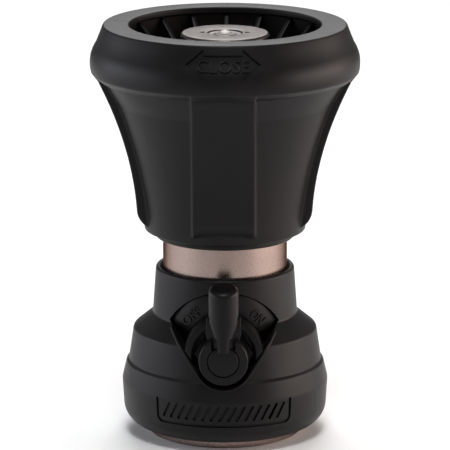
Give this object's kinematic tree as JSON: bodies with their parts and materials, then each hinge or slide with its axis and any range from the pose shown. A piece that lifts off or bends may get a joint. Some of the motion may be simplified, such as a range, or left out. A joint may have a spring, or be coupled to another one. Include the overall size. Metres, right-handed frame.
{
  "type": "hose spray nozzle",
  "caption": "Twist-head garden hose nozzle with a thumb-lever ball valve in its base, a bare metal neck and a rubber-clad flared head with a ribbed mouth and spray disc.",
  "frame": {"origin": "centre of the flat ring round the hose inlet, on which the nozzle stands", "axes": "+Z along the water way, towards the spray disc; the lever and dial face -Y; at rest the lever is midway and points to +Z"},
  "size_m": [0.0758, 0.0758, 0.1172],
  "materials": {
    "champagne_aluminium": "satin anodised",
    "black_elastomer": "satin moulded",
    "black_nylon": "satin moulded",
    "black_acetal": "smooth moulded",
    "turned_stainless": "turned",
    "plated_ball": "polished plate",
    "turned_brass": "machined",
    "white_ptfe": "smooth",
    "black_nitrile": "smooth"
  },
  "bodies": {
    "body": {"valve_body": "champagne_aluminium", "inlet_connector": "champagne_aluminium", "hose_washer": "black_nitrile", "connector_o_ring": "black_nitrile", "lower_ball_seat": "white_ptfe", "upper_ball_seat": "white_ptfe", "stem_gland_nut": "turned_brass", "dial_plate": "black_nylon", "base_cover": "black_elastomer", "thread_collar": "turned_brass", "stem_spider": "turned_brass", "spray_stem": "turned_stainless", "stem_lock_nut": "turned_stainless", "spray_disc": "turned_stainless", "disc_seal": "black_nitrile"},
    "lever": {"valve_ball": "plated_ball", "valve_stem": "turned_brass", "stem_o_rings": "black_nitrile", "control_lever": "black_nylon", "lever_screw": "turned_stainless", "lever_cap": "black_nylon"},
    "carriage": {"guide_ring": "black_acetal"},
    "head": {"head_barrel": "champagne_aluminium", "head_cover": "black_elastomer", "head_o_ring": "black_nitrile"}
  },
  "joints": [
    {"name": "lever_turn", "type": "hinge", "parent": "body", "child": "lever", "pos_m": [0, 0, 0.0274], "axis": [0, 1, 0], "range_deg": [-45, 45]},
    {"name": "head_slide", "type": "slide", "parent": "body", "child": "carriage", "axis": [0, 0, 1], "range_m": [-0.00605, 0.00205]},
    {"name": "head_turn", "type": "hinge", "parent": "carriage", "child": "head", "pos_m": [0, 0, 0.08], "axis": [0, 0, 1], "range_deg": [-270, 90]}
  ],
  "couplings": [
    {"joint": "head_slide", "follows": "head_turn", "m_per_rad": 0.0012732}
  ]
}
